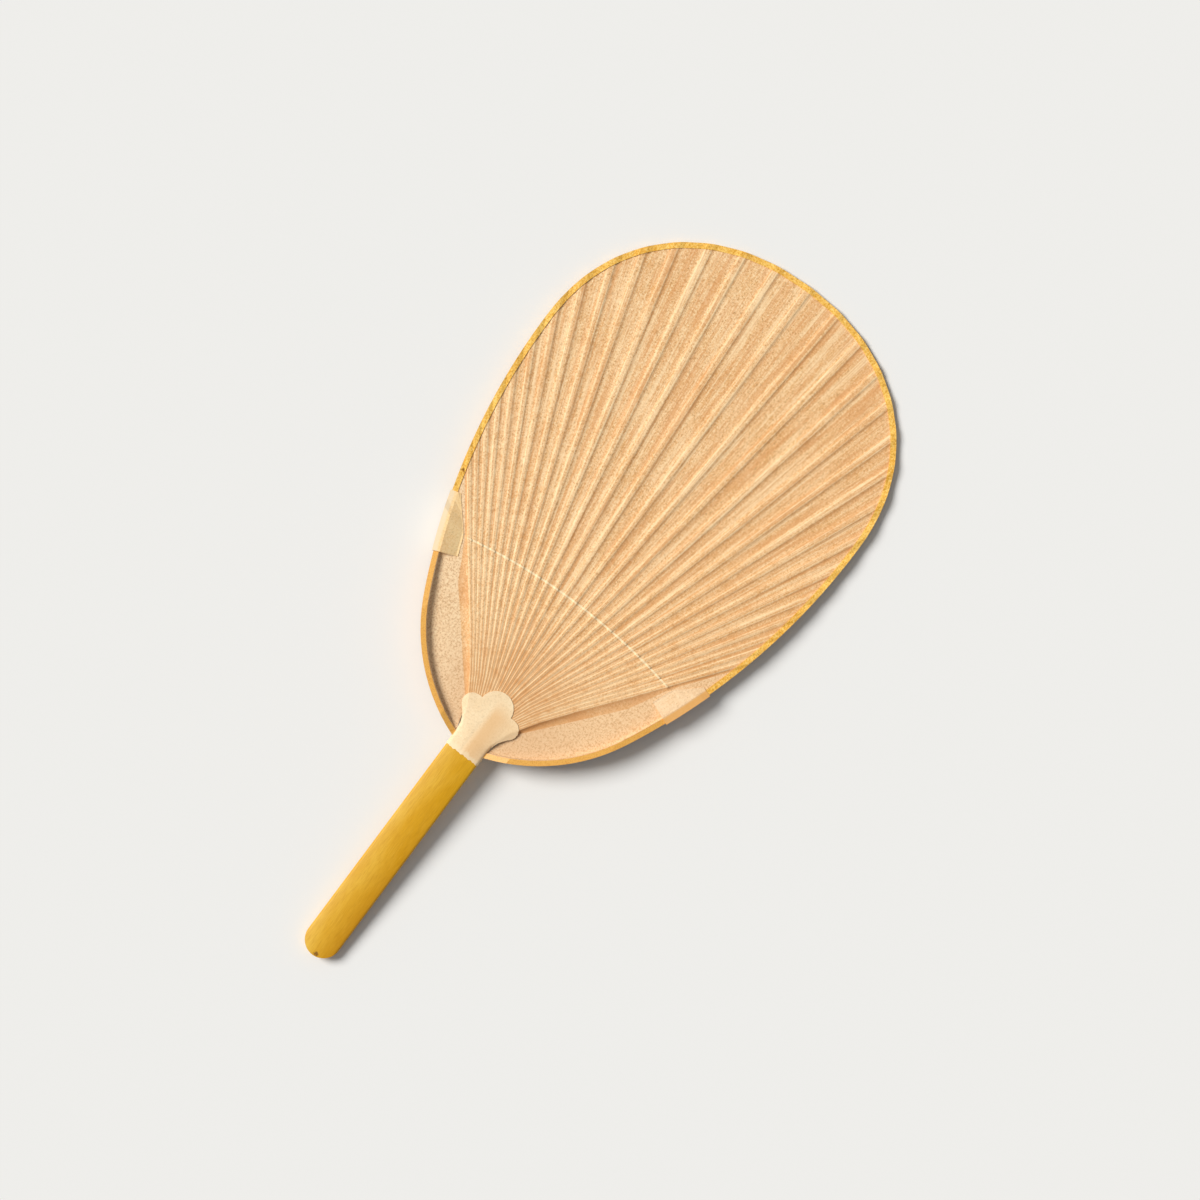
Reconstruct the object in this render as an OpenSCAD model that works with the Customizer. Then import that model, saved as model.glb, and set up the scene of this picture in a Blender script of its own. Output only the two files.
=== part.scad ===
// Uchiwa, a rigid hand fan. A strip of bamboo culm is the handle, and its upper end is split into ribs.
// A bow through the head of the handle and a woven thread spread the ribs, and paper is pasted on both faces.
// The blade lies in the XY plane, its tip towards +Y and its front towards +Z, until posed() sets it on its rest.

/* [Blade] */
// Height of the blade's widest line above the neck
widest_y = 190; // [175:1:205]
// Height of the crown above the widest line
crown_h = 87; // [78:1:98]
// Width of the blade
blade_w = 187; // [172:1:200]
// Fullness of the crown, where 2 is an ellipse
crown_full = 2.15; // [2:0.05:2.5]
// Radius of the two long sides
side_r = 322; // [290:1:360]
// Height at which the sides turn into the lower curves
turn_y = 48; // [42:1:54]
// Radius of the two lower curves, which the bow follows
lower_r = 92; // [86:1:98]

/* [Handle] */
// Length from the neck to the end of the grip
handle_l = 123; // [100:1:150]
// Width of the culm strip
handle_w = 18.2; // [15:0.2:22]
// Thickness at the crown of the strip
handle_t = 6; // [5:0.2:8]
// Radius of the rounded front, the skin side of the culm
front_r = 36; // [24:1:60]
// Radius of the worn long edges
edge_r = 1.4; // [0.6:0.1:2]
// Height of the head above the neck, where the splits start
head_l = 9; // [8:0.5:12]
// Length of the slope at the top of the head
head_slope = 3; // [2:0.5:4]
// Angle by which the culm bends back at the neck
neck_bend = 5.6; // [4:0.2:9]

/* [Ribs] */
// Number of ribs
rib_n = 29; // [21:2:33]
// Width of the saw-thin gap between two ribs at the split
kerf = 0.12; // [0.08:0.02:0.2]
// Wood left beside the outermost ribs at the split
split_edge = 0.6; // [0.3:0.1:1.5]
// Angle of the outermost rib from upright
fan_angle = 37; // [32:1:42]
// How much closer in angle the outer ribs stand
fan_crowding = 0.48; // [0.3:0.02:0.6]
// Width of the clear flap between the outermost rib and the end of the bow
flap_w = 17.6; // [15:0.2:24]
// How much closer the outer ribs meet the thread
thread_crowding = 0.38; // [0.2:0.02:0.5]
// Straight lead of the middle rib out of the split
lead_middle = 25; // [18:1:32]
// Straight lead of the outermost ribs out of the split
lead_outer = 11; // [8:1:16]
// Straight lead of each rib into the thread
lead_thread = 31; // [20:1:40]
// Rib width at the thread
rib_thread_w = 1.25; // [0.8:0.05:1.4]
// Rib width at the far tip, where the sliver lies flat
rib_tip_w = 2.7; // [1.8:0.1:3.2]
// Rib depth at the split, where the sliver stands on edge
rib_root_d = 4.2; // [3:0.1:5]
// Rib depth at the thread
rib_thread_d = 1.7; // [1.2:0.1:2]
// Rib depth at the far tip
rib_tip_d = 0.9; // [0.6:0.1:1.2]

/* [Bow] */
// Width of the strip, seen from the front
bow_t = 2.6; // [2:0.1:3.4]
// Height of the strip, which stands on edge
bow_h = 8.4; // [6:0.2:9.4]
// Height of the thinned middle inside the head
bow_mid_h = 2.8; // [2:0.1:3.2]
// Height of the strip at its two ends
bow_end_h = 3.6; // [3:0.2:6]
// Height above the neck at which the bow ends
bow_end_y = 86; // [78:1:92]
// Length of the slope beside the head
bow_slope = 10; // [6:1:16]
// Play between the bow and its hole
bow_play = 0.1; // [0.05:0.05:0.3]

/* [Thread] */
// Thickness of the thread
thread_d = 0.4; // [0.3:0.05:0.6]
// Height at which the thread crosses the axis
thread_y = 88; // [80:1:96]
// Radius of the thread's sag towards the bow's ends
thread_r = 294; // [240:2:360]
// Turns round each end of the bow
thread_turns = 3; // [2:1:5]

/* [Paper] */
// Thickness of each sheet, with its paste
paper_t = 0.25; // [0.15:0.05:0.4]
// Thickness of the binding strip
binding_t = 0.3; // [0.2:0.05:0.5]
// Run of the paper between two ribs for each millimetre that it comes down
paper_slope = 5; // [1:0.5:7]
// Run of the paper from an outermost rib to the flap for each millimetre that it comes down
flap_slope = 1.8; // [1:0.1:2.5]
// Height of the place beside the neck from which the flaps are creased
crease_low_y = 15.5; // [14:0.5:17]
// Width of the binding on each face
binding_w = 2.8; // [2:0.1:5]
// Thickness of the ear and neck patches
patch_t = 0.3; // [0.2:0.05:0.5]
// Height of the lower end of the ears
ear_low_y = 67.5; // [62:0.5:72]
// Height of the upper end of the left ear
ear_left_y = 96; // [92:1:100]
// Height of the upper end of the right ear
ear_right_y = 91; // [89:1:100]
// Reach of the ears from the rim towards the ribs
ear_w = 12; // [8:0.5:13]

/* [Neck patch] */
// Distance below the neck at which the patch starts
patch_low = 2.6; // [1:0.2:4]
// Height above the neck up to which its sides are straight
patch_straight_y = 11; // [9:0.5:13]
// Height of the centre of its top lobe
top_lobe_y = 24.6; // [22:0.2:27]
// Radius of the top lobe
top_lobe_r = 8.5; // [7:0.1:10]
// Distance of the two side lobes from the axis
side_lobe_x = 10.6; // [9.5:0.1:12]
// Height of their centres
side_lobe_y = 20; // [18:0.2:21]
// Radius of the side lobes
side_lobe_r = 5.2; // [4:0.1:6]

/* [Hidden] */
$fn = 96;
eps = 0.01;
half_w = blade_w / 2;
blade_l = widest_y + crown_h;
heart = [0, widest_y];
rib_last = (rib_n - 1) / 2;
rib_pitch = (handle_w - 2 * split_edge) / rib_n;
root_half = rib_last * rib_pitch;
rib_root_w = rib_pitch - kerf;
bamboo = [0.86, 0.67, 0.24];
paper_colour = [0.9, 0.74, 0.53];
binding_colour = [0.87, 0.66, 0.2];
patch_colour = [0.94, 0.85, 0.68];

// The outline: a full ellipse for the crown, then a long arc and a short arc that meet without a corner.
turn_angle = asin((widest_y - turn_y) / side_r);
side_centre = [half_w - side_r, 0];
lower_centre = side_centre + (side_r - lower_r) * [cos(turn_angle), -sin(turn_angle)];

function unit(v) = v / norm(v);

function crown_reach(a, inset) =
    pow(pow(abs(cos(a)) / (half_w - inset), crown_full)
        + pow(abs(sin(a)) / (crown_h - inset), crown_full), -1 / crown_full);

function arc_reach(a, centre, r) =
    let (along = centre.x * cos(a) + centre.y * sin(a))
    along + sqrt(along * along + r * r - centre * centre);

function turn_direction(inset) =
    let (p = side_centre + (side_r - inset) * [cos(turn_angle), -sin(turn_angle)])
    atan2(p.y, p.x);

// Distance from the heart of the blade to its outline, in direction a, with the outline drawn in by inset
function reach(a, inset) =
    a >= 0 ? crown_reach(a, inset)
    : a >= turn_direction(inset) ? arc_reach(a, side_centre, side_r - inset)
    : arc_reach(a, lower_centre, lower_r - inset);

function rim(a, inset) = heart + reach(a, inset) * [cos(a), sin(a)];

function inside(p, inset) = norm(p - heart) < reach(atan2(p.y - heart.y, abs(p.x)), inset);

// Where a line from p along direction d leaves the outline, found by halving
function to_rim(p, d, inset, low = 0, high = 400, steps = 26) =
    let (middle = (low + high) / 2)
    steps == 0 ? p + middle * d
    : inside(p + middle * d, inset) ? to_rim(p, d, inset, middle, high, steps - 1)
    : to_rim(p, d, inset, low, middle, steps - 1);

// Direction from the heart in which the outline, drawn in by inset, has height y
function rim_direction(y, inset, low = -90, high = 0, steps = 22) =
    let (middle = (low + high) / 2)
    steps == 0 ? middle
    : rim(middle, inset).y < y ? rim_direction(y, inset, middle, high, steps - 1)
    : rim_direction(y, inset, low, middle, steps - 1);

// Direction in which the drawn-in outline comes to distance x from the axis, low on the blade
function rim_direction_at_x(x, inset, low = -90, high = -45, steps = 22) =
    let (middle = (low + high) / 2)
    steps == 0 ? middle
    : rim(middle, inset).x < x ? rim_direction_at_x(x, inset, middle, high, steps - 1)
    : rim_direction_at_x(x, inset, low, middle, steps - 1);

function spread(from, to, steps) = [for (i = [0:steps]) from + (to - from) * i / steps];

// The place a distance s straight in from the outline, or out of it where s is negative
function beside_rim(a, s) =
    let (along = unit(rim(a + 0.05, 0) - rim(a - 0.05, 0)))
    rim(a, 0) + s * [-along.y, along.x];

function mirrored(points) = [for (i = [len(points) - 1:-1:0]) [-points[i].x, points[i].y]];

module outline(inset, step = 1.5) {
    right = [for (a = [-90:step:90]) rim(a, inset)];
    polygon(concat(right, mirrored(right)));
}

// The band of the outline between two insets
module rim_band(from, to) {
    difference() {
        outline(from);
        outline(to);
    }
}

// The fan of the ribs: q runs from -1 at the left rib to 1 at the right one.
function eased(q, crowding) = q * (1 + crowding - crowding * abs(q));

function rib_q(i) = (i - rib_last) / rib_last;

function rib_direction(q) = let (a = fan_angle * eased(q, fan_crowding)) [sin(a), cos(a)];

// Distance from the axis at which the outermost rib meets the thread
thread_half = rim(rim_direction(bow_end_y, 0), 0).x - flap_w;

function thread_height(x) = thread_y - thread_r + sqrt(thread_r * thread_r - x * x);

function rib_root(q) = [root_half * q, head_l];

function rib_crossing(q) =
    let (x = thread_half * eased(q, thread_crowding))
    [x, thread_height(x)];

// Each rib leaves the split upright and comes to the thread along its own direction, on a cubic curve
function rib_curve(q, t) =
    let (
        lead = lead_middle + (lead_outer - lead_middle) * abs(q),
        p0 = rib_root(q),
        p1 = p0 + [0, lead],
        p3 = rib_crossing(q),
        p2 = p3 - lead_thread * rib_direction(q),
        s = 1 - t
    )
    s * s * s * p0 + 3 * s * s * t * p1 + 3 * s * t * t * p2 + t * t * t * p3;

function rib_tangent(q, t) = unit(rib_curve(q, min(t + 0.01, 1)) - rib_curve(q, min(t + 0.01, 1) - 0.02));

function rib_curve_w(t) = rib_root_w + (rib_thread_w - rib_root_w) * t;

function rib_straight_w(beyond) = rib_thread_w + (rib_tip_w - rib_thread_w) * beyond / (blade_l - thread_y);

function half_depth(y) =
    lookup(y, [[head_l, rib_root_d / 2], [thread_y, rib_thread_d / 2], [blade_l, rib_tip_d / 2]]);

function across(d) = [d.y, -d.x];

// A station is a place along a rib: [centre, direction, width]
curve_steps = 5;

function curve_station(q, t) = [rib_curve(q, t), rib_tangent(q, t), rib_curve_w(t)];

function straight_station(q, beyond) =
    [rib_crossing(q) + beyond * rib_direction(q), rib_direction(q), rib_straight_w(beyond)];

function rim_distance(q, inset) = norm(to_rim(rib_crossing(q), rib_direction(q), inset) - rib_crossing(q));

rib_end_inset = binding_t + 0.2;

module rib_outline(q) {
    buried = [rib_root(q) - [0, head_slope], [0, 1], rib_root_w];
    stations = concat(
        [buried],
        [for (j = [0:curve_steps - 1]) curve_station(q, j / curve_steps)],
        [straight_station(q, 0)]
    );
    right = [for (s = stations) s[0] + s[2] / 2 * across(s[1])];
    left = [for (j = [len(stations) - 1:-1:0]) stations[j][0] - stations[j][2] / 2 * across(stations[j][1])];
    polygon(concat(right, [rib_corner(q, 1, 1), rib_corner(q, 0.5, 0), rib_corner(q, -0.5, 0),
        rib_corner(q, -1, 1)], left));
}

// A corner of the rib's rounded-off far end: share of the half width from its middle, half widths back
function rib_corner(q, share, back) =
    let (
        d = rib_direction(q),
        half_tip = rib_straight_w(rim_distance(q, rib_end_inset)) / 2
    )
    to_rim(rib_crossing(q) + share * half_tip * across(d), d, rib_end_inset) - back * half_tip * d;

function arc(centre, r, from, to, steps) =
    [for (a = spread(from, to, steps)) centre + r * [cos(a), sin(a)]];

// The culm's cross-section, front up, grown by g on every side. The worn edges run smoothly into the round front.
module culm_section(g = 0) {
    t = handle_t / 2 + g;
    edge = edge_r + g;
    edge_x = handle_w / 2 - edge_r;
    front_centre = handle_t / 2 - front_r;
    front_angle = acos(edge_x / (front_r - edge_r));
    edge_y = front_centre + (front_r - edge_r) * sin(front_angle);
    right = concat(
        arc([edge_x, edge - t], edge, -90, 0, edge_steps),
        arc([edge_x, edge_y], edge, 0, front_angle, edge_steps),
        arc([0, front_centre], front_r + g, front_angle + (90 - front_angle) / front_steps, 90, front_steps - 1)
    );
    left = [for (i = [len(right) - 2:-1:0]) [-right[i].x, right[i].y]];
    polygon(concat(right, left));
}

edge_steps = 5;
front_steps = 8;

// The side view of the head, with the slope down to the depth of the ribs, grown by g
module head_side(g = 0) {
    t = handle_t / 2 + g;
    d = rib_root_d / 2 + g;
    polygon([[-head_foot, -t], [head_l - head_slope, -t], [head_l, -d], [head_l, d],
        [head_l - head_slope, t], [-head_foot, t]]);
}

head_foot = 3;
rotate_yz = [90, 0, 90];
wide = 2 * blade_w;

module head(g = 0) {
    intersection() {
        translate([0, head_l, 0])
            rotate([90, 0, 0])
                linear_extrude(head_l + head_foot)
                    culm_section(g);
        rotate(rotate_yz)
            linear_extrude(wide, center = true)
                head_side(g);
    }
}

// The grip bends back from the head at a hinge on the crown line, and is built a little way into the head
seam = 0.3;
grip_l = handle_l - head_foot;
hinge = [0, -head_foot, handle_t / 2];

module grip() {
    translate(hinge)
        rotate([neck_bend, 0, 0])
            intersection() {
                translate([0, seam, -handle_t / 2])
                    rotate([90, 0, 0])
                        linear_extrude(grip_l + seam)
                            culm_section();
                linear_extrude(4 * handle_t, center = true)
                    union() {
                        translate([-handle_w, handle_w / 2 - grip_l])
                            square([2 * handle_w, grip_l]);
                        translate([0, handle_w / 2 - grip_l])
                            circle(handle_w / 2);
                    }
            }
}

// The bow fills the outline's lowest band. In front view its upper edge is low in the head, climbs beside it
// and sinks again over the last stretch.
bow_beside_head = handle_w / 2 + 0.5;
bow_end_x = rim(rim_direction(bow_end_y, 0), 0).x;
bow_last_slope = 20;
bow_edge = [[bow_beside_head, bow_mid_h / 2], [bow_beside_head + bow_slope, bow_h / 2],
    [bow_end_x - bow_last_slope, bow_h / 2], [bow_end_x + 1, bow_end_h / 2]];

function bow_top(x) = lookup(x, bow_edge);

module bow_side(g = 0) {
    grown = [for (p = bow_edge) p + [0, g]];
    upper = concat(mirrored(grown), grown);
    lower = [for (i = [len(upper) - 1:-1:0]) [upper[i].x, -upper[i].y]];
    polygon(concat(upper, lower));
}

module bow_solid(g = 0) {
    intersection() {
        linear_extrude(2 * bow_h, center = true)
            intersection() {
                rim_band(-g, bow_t + g);
                translate([-half_w, -half_w])
                    square([blade_w, half_w + bow_end_y]);
            }
        rotate([90, 0, 0])
            linear_extrude(2 * widest_y, center = true)
                bow_side(g);
    }
}

module ribs() {
    intersection() {
        linear_extrude(2 * rib_root_d, center = true)
            union() {
                for (i = [0:rib_n - 1])
                    rib_outline(rib_q(i));
            }
        rotate(rotate_yz)
            linear_extrude(wide, center = true)
                rib_side();
    }
}

// The side view of the ribs, on edge at the split and flat at the tip
module rib_side() {
    upper = [for (y = [0, head_l, thread_y, blade_l]) [y, half_depth(y)]];
    lower = [for (i = [3:-1:0]) [upper[i].x, -upper[i].y]];
    polygon(concat(upper, lower));
}

module handle_and_ribs() {
    color(bamboo)
        posed()
            difference() {
                union() {
                    head();
                    grip();
                    ribs();
                }
                bow_hole();
            }
}

module bow_hole() {
    intersection() {
        bow_solid(bow_play);
        cube([2 * handle_w, 4 * head_l, bow_mid_h + 2 * bow_play], center = true);
    }
}

// The sheets: four lines per rib, foot, shoulder, shoulder and foot, so that the paper stands up over each
// sliver and lies on the other sheet between two. The rows run from under the neck patch to the rim.
seat = 0.05;
thread_flank = 1.2;
curve_rows = curve_steps - 1;
thread_row = curve_rows + 1;
rim_row = curve_rows + 3;
columns = 4 * rib_n;
thread_room = 0.02;
flap_z = thread_d / 2 + thread_room;
lip_drop = 0.3;
paste = 0.05;
lip_min = flap_z + paper_t + paste / 2;

function paper_station(q, row) =
    row < curve_rows ? curve_station(q, (row + 1) / curve_steps)
    : row < rim_row ? straight_station(q, (row - thread_row) * thread_flank)
    : straight_station(q, rim_distance(q, binding_t));

// Clear distance from one rib to the next at a row
function rib_gap(q, row, side) =
    let (
        here = paper_station(q, row),
        next = paper_station(q + side / rib_last, row)
    )
    abs((next[0] - here[0]) * across(here[1])) - (here[2] + next[2]) / 2 - 2 * seat;

function is_outermost(q, side) = abs(q + side / rib_last) > 1 + eps;

// Half of the clear gap beside a rib, less a little, is the room for one foot of the paper
function foot_room(q, row, side) = 0.47 * rib_gap(q, row, side);

// How far the paper stands out over the thread, where that passes between it and the rib
function bump_out(bump, room) = min(0.7 * bump, room / 2);

// The flap's crease runs straight from beside the neck to the lower corner of the ear
crease_low = [handle_w / 2 + 1.5, crease_low_y];
crease_high = beside_rim(rim_direction(ear_low_y, 0), ear_w);

function cross_of(a, b) = a.x * b.y - a.y * b.x;

// How far beside a place on the outermost rib the crease is
function crease_distance(p, d) =
    let (crease = crease_high - crease_low)
    cross_of(crease_low - p, crease) / cross_of(across(d), crease);

// How far the paper's foot stands out from the shoulder
function foot_run(q, row, side, out) =
    let (
        station = paper_station(q, row),
        depth = half_depth(station[0].y)
    )
    !is_outermost(q, side) ? min(paper_slope * depth, foot_room(q, row, side) - out)
    : row < curve_rows ? crease_distance([abs(station[0].x), station[0].y], [abs(station[1].x), station[1].y])
    : flap_slope * depth;

// The thread passes in front of every other rib, and behind those between
function weave_side(q) = round((q + 1) * rib_last) % 2 == 0 ? 1 : -1;

function thread_slope(x) = -x / sqrt(thread_r * thread_r - x * x);

// How squarely the thread crosses a rib, where 1 is at right angles
function squareness(q) = rib_direction(q) * [-thread_slope(rib_crossing(q).x), 1];

// The step along the rib that keeps a place beside it on the line of the thread
function along_thread(q, off) =
    (thread_slope(rib_crossing(q).x) * off.x - off.y) / squareness(q) * rib_direction(q);

// A point of the sheet's inner face: column 0 and 3 are feet, 1 and 2 are shoulders. Face is 1 for the front.
function paper_point(q, row, column, face) =
    let (
        station = paper_station(q, row),
        side = column < 2 ? -1 : 1,
        is_foot = column == 0 || column == 3,
        bump = row == thread_row && weave_side(q) == face ? thread_d + thread_room : 0,
        out = bump_out(bump, is_outermost(q, side) ? bump : foot_room(q, row, side)),
        run = is_foot ? foot_run(q, row, side, out) : 0,
        off = side * (station[2] / 2 + seat + out + run) * across(station[1]),
        flat = row < curve_rows ? station[0] + off
            : row < rim_row ? station[0] + off + along_thread(q, off)
            : to_rim(rib_crossing(q) + off, station[1], binding_t),
        z = !is_foot ? half_depth(flat.y) + bump
            : is_outermost(q, side) ? flap_z
            : max(half_depth(flat.y) - run / paper_slope, row == thread_row ? flap_z : 0)
    )
    [flat.x, flat.y, z];

paper_columns = [for (i = [0:rib_n - 1], c = [0:3]) [rib_q(i), c]];

function paper_row(row, face) = [for (k = paper_columns) paper_point(k[0], row, k[1], face)];

// The outer edge of the flap beside the last rib: inside the binding, round the thread's turns, along the bow
last_foot = paper_point(1, rim_row, 3, 1);
last_direction = atan2(last_foot.y - heart.y, last_foot.x) - 2;
lip_inset = bow_t + seat;
turns_inset = bow_t + 2 * thread_d + 0.1;
turn_pitch = 1.2 * thread_d;
turns_low_y = bow_end_y - 3 - thread_turns * turn_pitch;

bound_directions = spread(last_direction, rim_direction(bow_end_y + 0.6, binding_t), 4);

flap_edge = concat(
    [for (a = bound_directions) [a, binding_t]],
    [for (a = spread(rim_direction(bow_end_y + 0.3, turns_inset), rim_direction(turns_low_y, turns_inset), 1))
        [a, turns_inset]],
    [for (a = spread(rim_direction(turns_low_y - 0.3, lip_inset), rim_direction_at_x(handle_w / 2 + 0.3, lip_inset),
        18)) [a, lip_inset]]
);

function raised(p, z) = [p.x, p.y, z];

// Four corners of the upright lip that is pasted to the inner face of the bow
function lip_corners(edge) =
    let (
        outer = rim(edge[0], edge[1]),
        inner = rim(edge[0], edge[1] + paper_t),
        top = edge[1] == lip_inset ? max(lip_min, bow_top(outer.x) - lip_drop) : lip_min
    )
    [raised(outer, flap_z), raised(outer, top), raised(inner, top), raised(inner, flap_z + paper_t)];

function flip(p) = [-p.x, p.y, p.z];

function reversed(face) = [for (i = [len(face) - 1:-1:0]) face[i]];

// Faces of one flap: top and bottom sheets as single flat faces, and the four-cornered lip along its edge
function flap_faces(top_column, bottom_column, base, count) =
    let (
        last = len(top_column) - 1,
        t0 = top_column[0],
        b0 = bottom_column[0],
        t1 = top_column[last],
        b1 = bottom_column[last],
        end = base + 4 * (count - 1)
    )
    concat(
        [concat(top_column, [for (i = [0:count - 1]) base + 4 * i + 3])],
        [concat([for (i = [count - 1:-1:0]) base + 4 * i], reversed(bottom_column))],
        [for (i = [0:count - 2], k = [0:2])
            let (here = base + 4 * i + k, next = here + 4)
            each [[here, next, next + 1], [here, next + 1, here + 1]]],
        [[base, base + 1, base + 2, base + 3]],
        [[base + 3, t1, b1], [base + 3, b1, base]],
        [[end, end + 3, end + 2, end + 1]],
        [[t0, end + 3, end], [t0, end, b0]]
    );

module paper_sheet(face) {
    inner = [for (row = [0:rim_row]) each paper_row(row, face)];
    outer = [for (p = inner) p + [0, 0, paper_t]];
    under = len(inner);
    lip = [for (edge = flap_edge) each lip_corners(edge)];
    right_base = 2 * under;
    left_base = right_base + len(lip);
    grid = [for (row = [0:rim_row - 1], c = [0:columns - 2])
        let (a = row * columns + c, b = a + columns)
        each [[a, b, b + 1], [a, b + 1, a + 1],
            [a + under, b + 1 + under, b + under], [a + under, a + 1 + under, b + 1 + under]]];
    low_edge = [for (c = [0:columns - 2])
        each [[c, c + 1, c + 1 + under], [c, c + 1 + under, c + under]]];
    rim_edge = [for (c = [0:columns - 2])
        let (a = rim_row * columns + c)
        each [[a + 1, a, a + under], [a + 1, a + under, a + 1 + under]]];
    right_top = [for (row = [0:rim_row]) row * columns + columns - 1];
    left_top = [for (row = [0:rim_row]) row * columns];
    right = flap_faces(right_top, [for (v = right_top) v + under], right_base, len(flap_edge));
    left = flap_faces(left_top, [for (v = left_top) v + under], left_base, len(flap_edge));
    polyhedron(
        points = concat(outer, inner, lip, [for (p = lip) flip(p)]),
        faces = concat(grid, low_edge, rim_edge, right, [for (f = left) reversed(f)]),
        convexity = 8
    );
}

module front_paper() {
    color(paper_colour)
        posed()
            paper_sheet(1);
}

module back_paper() {
    color(paper_colour)
        posed()
            mirror([0, 0, 1])
                paper_sheet(-1);
}

// A closed solid through rings of equal length, its two ends flat
module skin(rings) {
    m = len(rings[0]);
    last = len(rings) - 1;
    sides = [for (i = [0:last - 1], j = [0:m - 1])
        let (a = i * m + j, b = i * m + (j + 1) % m)
        each [[a, b, b + m], [a, b + m, a + m]]];
    polyhedron(
        points = [for (ring = rings) each ring],
        faces = concat(sides, [[for (j = [m - 1:-1:0]) j]], [[for (j = [0:m - 1]) last * m + j]]),
        convexity = 8
    );
}

// The binding is a folded strip: at each line of the paper it lies on both sheets and turns round their edge.
// The three places are the fold, the paper's edge and the strip's own inner edge.
function binding_ring(places, tops) = [
    raised(places[0], tops[0] + binding_t),
    raised(places[2], tops[1] + binding_t),
    raised(places[2], tops[1]),
    raised(places[1], tops[0]),
    raised(places[1], -tops[0]),
    raised(places[2], -tops[1]),
    raised(places[2], -tops[1] - binding_t),
    raised(places[0], -tops[0] - binding_t)
];

function binding_at_column(k) =
    let (
        q = k[0],
        edge = paper_point(q, rim_row, k[1], 1),
        d = rib_direction(q),
        start = [edge.x, edge.y] - 20 * d,
        fold = to_rim(start, d, 0),
        inner = to_rim(start, d, binding_w),
        top = edge.z + paper_t + paste,
        rise = edge.z > flap_z ? half_depth(inner.y) - half_depth(edge.y) : 0
    )
    binding_ring([fold, [edge.x, edge.y], inner], [top, top + rise]);

function binding_at_direction(a) =
    binding_ring([rim(a, 0), rim(a, binding_t), rim(a, binding_w)], [for (i = [0, 1]) flap_z + paper_t + paste]);

module edge_binding() {
    beside = [for (a = bound_directions) binding_at_direction(a)];
    color(binding_colour)
        posed()
            skin(concat(
                [for (i = [len(beside) - 1:-1:0]) [for (p = beside[i]) flip(p)]],
                [for (k = paper_columns) binding_at_column(k)],
                beside
            ));
}

// The thread goes in front of one rib and behind the next, then round each arm of the bow
thread_sides = 6;

function thread_point(x, z) = [x, thread_height(x), z];

// Over one rib the thread climbs from the middle plane, crosses level and goes down again
weave_points = [for (i = [0:rib_n - 1])
    let (
        p = rib_crossing(rib_q(i)),
        top = half_depth(p.y) + thread_d / 2 + thread_room,
        level = (rib_thread_w / 2 + 0.3 * thread_d) / squareness(rib_q(i)),
        down = level + 0.85 * top / squareness(rib_q(i)),
        left = i == 0 ? down : min(down, 0.48 * (p.x - rib_crossing(rib_q(i - 1)).x)),
        right = i == rib_n - 1 ? down : min(down, 0.48 * (rib_crossing(rib_q(i + 1)).x - p.x))
    )
    each [for (k = [[-left, 0], [-level, top], [level, top], [right, 0]])
        thread_point(p.x + k[0], k[1] * weave_side(rib_q(i)))]];

// One turn round the bow's arm: inwards and upwards as shares of the strip's half width and half height, and
// which of the two is kept off by the full radius. The thread cuts each corner a little.
turn_shape = [[1, 0, 1, 0], [1, 1, 1, 0.5], [1, 1, 0.5, 1], [-1, 1, -0.5, 1], [-1, 1, -1, 0.5],
    [-1, -1, -1, -0.5], [-1, -1, -0.5, -1], [1, -1, 0.5, -1], [1, -1, 1, -0.5]];
turn_points = len(turn_shape);

function turn_point(j) =
    let (
        shape = turn_shape[j % turn_points],
        y = turns_low_y + 1 + j / turn_points * turn_pitch,
        off = thread_d / 2 + thread_room,
        inwards = bow_t / 2 + shape[0] * bow_t / 2 + shape[2] * off,
        flat = beside_rim(rim_direction(y, 0), inwards)
    )
    raised(flat, shape[1] * bow_top(flat.x) + shape[3] * off);

right_turns = [for (j = [0:turn_points * thread_turns]) turn_point(j)];

thread_path = concat(
    [for (j = [len(right_turns) - 1:-1:0]) flip(right_turns[j])],
    weave_points,
    right_turns
);

function path_ring(path, i) =
    let (
        ahead = path[min(i + 1, len(path) - 1)],
        behind = path[max(i - 1, 0)],
        t = unit(ahead - behind),
        side = unit(cross(t, [0, 1, 0])),
        up = cross(side, t)
    )
    [for (k = [0:thread_sides - 1])
        let (a = 360 * k / thread_sides)
        path[i] + thread_d / 2 * (cos(a) * side + sin(a) * up)];

module thread() {
    color("ivory")
        posed()
            skin([for (i = [0:len(thread_path) - 1]) path_ring(thread_path, i)]);
}

// Each ear is a small paper folded over the end of the bow and the end of the binding
ear_steps = 6;
ear_run = 8;
ear_tip_w = 4.5;
cord_room = thread_d + 0.05;
ear_on_binding_z = flap_z + paper_t + binding_t + 2 * paste;

ear_kink_y = bow_end_y + 1.5;

function ear_roof(p) =
    p.y <= ear_kink_y ? bow_top(p.x) + cord_room
    : lookup(p.y, [[ear_kink_y, bow_end_h / 2 + cord_room], [bow_end_y + 5, ear_on_binding_z]]);

function ear_reach(y, top_y) =
    lookup(y, [[bow_end_y - 8, ear_w], [top_y, ear_tip_w]]);

function ear_ring(a, top_y) =
    let (
        p = rim(a, 0),
        w = ear_reach(p.y, top_y),
        crest = bow_t + cord_room,
        high = ear_roof(p),
        higher = ear_roof(beside_rim(a, crest)),
        low = flap_z + paper_t,
        foot = crest + min(ear_run, w - crest - patch_t),
        under = [[-cord_room, high], [crest, higher], [foot, low], [w, low]],
        over = [[-cord_room - patch_t, high + patch_t], [crest, higher + patch_t], [foot, low + patch_t],
            [w, low + patch_t]],
        front = concat(over, reversed(under)),
        back = [for (s = reversed(front)) [s[0], -s[1]]]
    )
    [for (s = concat(front, back)) raised(beside_rim(a, s[0]), s[1])];

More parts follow.
